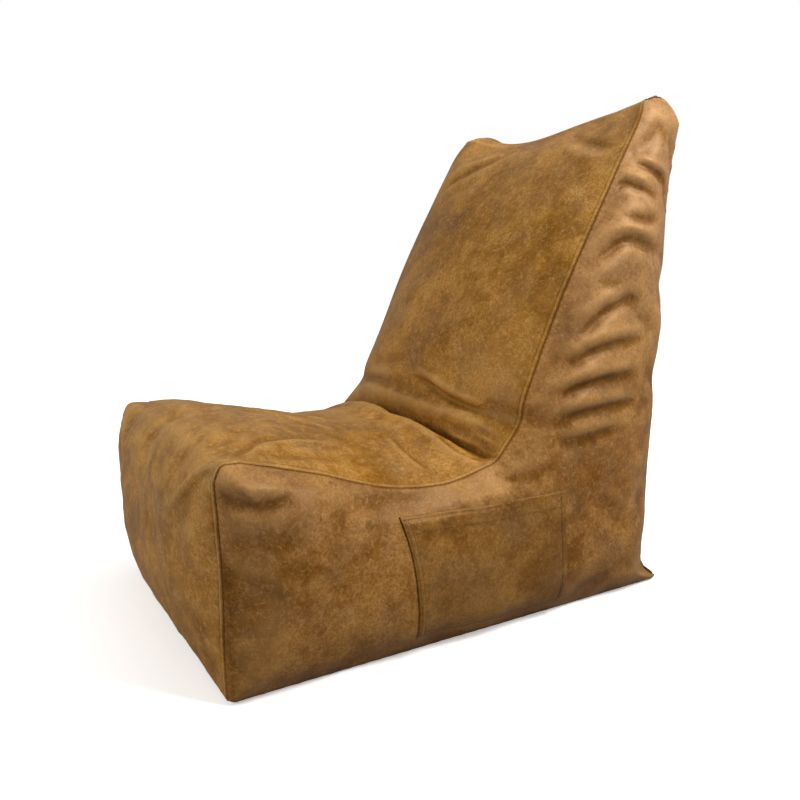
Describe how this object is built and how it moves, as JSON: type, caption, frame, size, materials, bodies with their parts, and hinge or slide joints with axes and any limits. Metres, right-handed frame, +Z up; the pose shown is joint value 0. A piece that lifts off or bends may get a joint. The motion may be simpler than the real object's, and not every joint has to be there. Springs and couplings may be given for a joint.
{
  "type": "bean bag chair",
  "caption": "Leather-look bean bag lounge chair: a sewn panel cover with a side pocket round a zipped inner bag of beads, closed by a sliding zip low on the back.",
  "frame": {"origin": "middle of the base panel, on the floor", "axes": "+Z up, the sitter faces -Y, and +X is on the sitter's left, the side with the pocket"},
  "size_m": [0.7264, 0.9898, 0.994],
  "materials": {
    "tan_leather": "waxed, satin, mottled",
    "side_leather": "waxed, satin, mottled",
    "dark_leather": "waxed, satin, mottled",
    "liner_cloth": "matt plain weave",
    "foam_beads": "matt white foam beads",
    "zip_tape": "matt herringbone tape",
    "zip_coil": "semi-matt moulded coil",
    "zip_metal": "antiqued satin"
  },
  "bodies": {
    "bag": {"seat_front_panel": "tan_leather", "backrest_panel": "tan_leather", "rear_panel_upper": "dark_leather", "rear_panel_lower": "dark_leather", "base_panel": "dark_leather", "side_panel_left": "side_leather", "side_panel_right": "side_leather", "side_pocket": "dark_leather", "liner": "liner_cloth", "bead_fill": "foam_beads", "cover_zip_tape_upper": "zip_tape", "cover_zip_coil_upper": "zip_coil", "cover_zip_tape_lower": "zip_tape", "cover_zip_coil_lower": "zip_coil", "cover_zip_stop_closed": "zip_metal", "cover_zip_stop_open": "zip_metal", "liner_zip_tape_upper": "zip_tape", "liner_zip_coil_upper": "zip_coil", "liner_zip_tape_lower": "zip_tape", "liner_zip_coil_lower": "zip_coil", "liner_zip_stop_closed": "zip_metal", "liner_zip_stop_open": "zip_metal"},
    "cover_slider": {"cover_zip_slider": "zip_metal"},
    "cover_puller": {"cover_zip_puller": "zip_metal"},
    "liner_slider": {"liner_zip_slider": "zip_metal"}
  },
  "joints": [
    {"name": "cover_zip_slide", "type": "slide", "parent": "bag", "child": "cover_slider", "axis": [-1, 0, 0], "range_m": [0, 0.538]},
    {"name": "cover_puller_hinge", "type": "hinge", "parent": "cover_slider", "child": "cover_puller", "pos_m": [0.2692, 0.4317, 0.076], "axis": [0, 0, -1], "range_deg": [0, 178]},
    {"name": "liner_zip_slide", "type": "slide", "parent": "bag", "child": "liner_slider", "axis": [-1, 0, 0], "range_m": [0, 0.481]}
  ]
}
